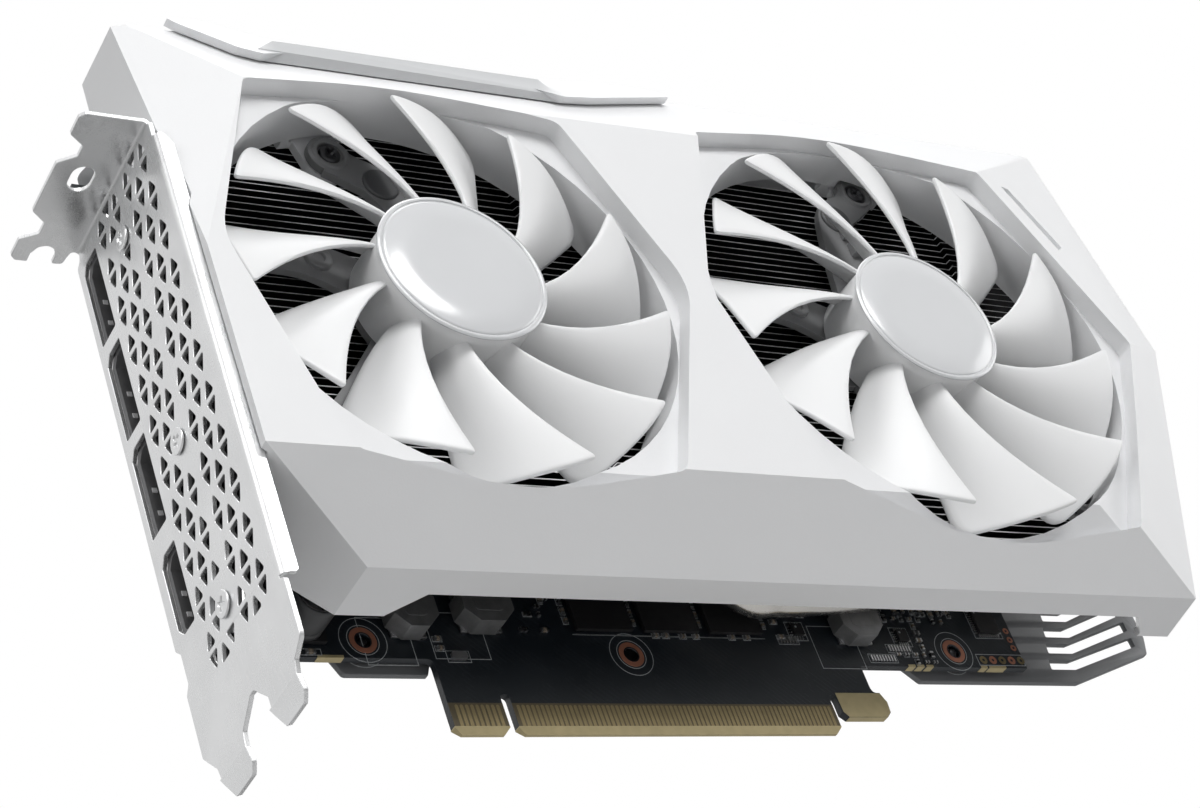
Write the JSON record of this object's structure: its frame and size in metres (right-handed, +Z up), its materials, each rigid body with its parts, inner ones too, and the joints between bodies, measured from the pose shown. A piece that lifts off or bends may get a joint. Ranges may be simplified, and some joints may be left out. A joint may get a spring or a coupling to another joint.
{
  "type": "graphics card",
  "caption": "Graphics card with ducted axial fans in a faceted white shroud, a ventilated slot bracket, a finned heatsink with heat pipes, an edge-connector board and a backplate.",
  "frame": {"origin": "on the bracket's outer face, level with the component side of the circuit board and with the tips of its edge connector", "axes": "+X along the card away from the bracket, -Y out of the fans, +Z up from the edge connector"},
  "size_m": [0.2437, 0.0424, 0.1545],
  "materials": {
    "white_plastic": "satin moulded",
    "grey_trim": "satin painted",
    "fan_plastic": "smooth moulded",
    "cap_plastic": "polished",
    "frame_plastic": "satin moulded",
    "dark_plastic": "satin moulded",
    "black_plastic": "moulded",
    "board_laminate": "solder resist",
    "chip_black": "moulded epoxy",
    "silicon": "polished",
    "fin_aluminium": "dark stamped sheet",
    "nickel": "nickel plate",
    "copper": "bright copper",
    "ferrite": "pressed powder",
    "steel": "satin plated",
    "magnet": "bonded magnet",
    "backplate_metal": "satin painted"
  },
  "bodies": {
    "card": {"shroud": "white_plastic", "top_trim": "grey_trim", "fan_left_frame": "frame_plastic", "fan_right_frame": "frame_plastic", "display_port_1": "dark_plastic", "display_port_2": "dark_plastic", "display_port_3": "dark_plastic", "capacitor": "black_plastic", "power_connector": "black_plastic", "circuit_board": "board_laminate", "processor_package": "board_laminate", "memory_chip_1": "chip_black", "memory_chip_2": "chip_black", "memory_chip_3": "chip_black", "memory_chip_4": "chip_black", "memory_chip_5": "chip_black", "memory_chip_6": "chip_black", "processor_die": "silicon", "fin_stack_left": "fin_aluminium", "fin_stack_right": "fin_aluminium", "heat_pipe_1": "nickel", "heat_pipe_2": "nickel", "heat_pipe_3": "nickel", "video_port": "nickel", "fan_left_bearing": "nickel", "fan_right_bearing": "nickel", "cold_plate": "copper", "fan_left_stator": "copper", "fan_right_stator": "copper", "inductor_1": "ferrite", "inductor_2": "ferrite", "inductor_3": "ferrite", "slot_bracket": "steel", "bracket_foot": "steel", "retention_plate": "steel", "bracket_screw_1": "steel", "bracket_screw_2": "steel", "bracket_screw_3": "steel", "backplate_screw_1": "steel", "backplate_screw_2": "steel", "backplate_screw_3": "steel", "backplate_screw_4": "steel", "fan_left_screw_1": "steel", "fan_left_screw_2": "steel", "fan_left_screw_3": "steel", "fan_right_screw_1": "steel", "fan_right_screw_2": "steel", "fan_right_screw_3": "steel", "backplate": "backplate_metal"},
    "fan_left": {"fan_left_rotor": "fan_plastic", "fan_left_hub_cap": "cap_plastic", "fan_left_magnet_ring": "magnet", "fan_left_shaft": "steel"},
    "fan_right": {"fan_right_rotor": "fan_plastic", "fan_right_hub_cap": "cap_plastic", "fan_right_magnet_ring": "magnet", "fan_right_shaft": "steel"}
  },
  "joints": [
    {"name": "fan_left_spin", "type": "hinge", "parent": "card", "child": "fan_left", "pos_m": [0.054, -0.03, 0.0762], "axis": [0, -1, 0], "continuous": true},
    {"name": "fan_right_spin", "type": "hinge", "parent": "card", "child": "fan_right", "pos_m": [0.1648, -0.03, 0.0776], "axis": [0, -1, 0], "continuous": true}
  ]
}
